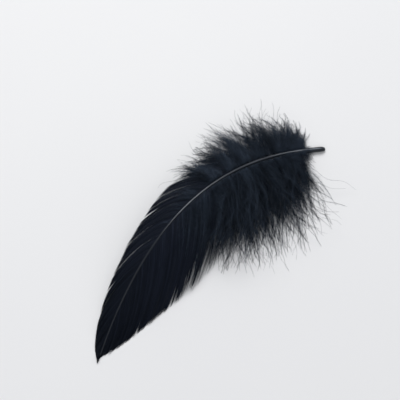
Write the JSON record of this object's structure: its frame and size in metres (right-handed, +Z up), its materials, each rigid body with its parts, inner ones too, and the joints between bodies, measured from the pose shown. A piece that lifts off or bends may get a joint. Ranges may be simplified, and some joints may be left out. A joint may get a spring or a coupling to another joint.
{
  "type": "goose quill feather",
  "caption": "Curved quill feather lying hollow side down: bare quill, arched shaft, narrow and broad vane, and loose down at the base.",
  "frame": {"origin": "where the bare quill's flat underside rests on the surface, at the middle of its resting length", "axes": "-Z is the way the quill's resting face looks, down to the surface; +X runs from the quill to the feather's tip; +Z is up, the feather's shortest extent; the broad vane is on the +Y side"},
  "size_m": [0.139, 0.074, 0.0157],
  "materials": {
    "dyed_keratin": "satin, dyed blue-black"
  },
  "bodies": {
    "root": {"feather": "dyed_keratin"}
  },
  "joints": []
}
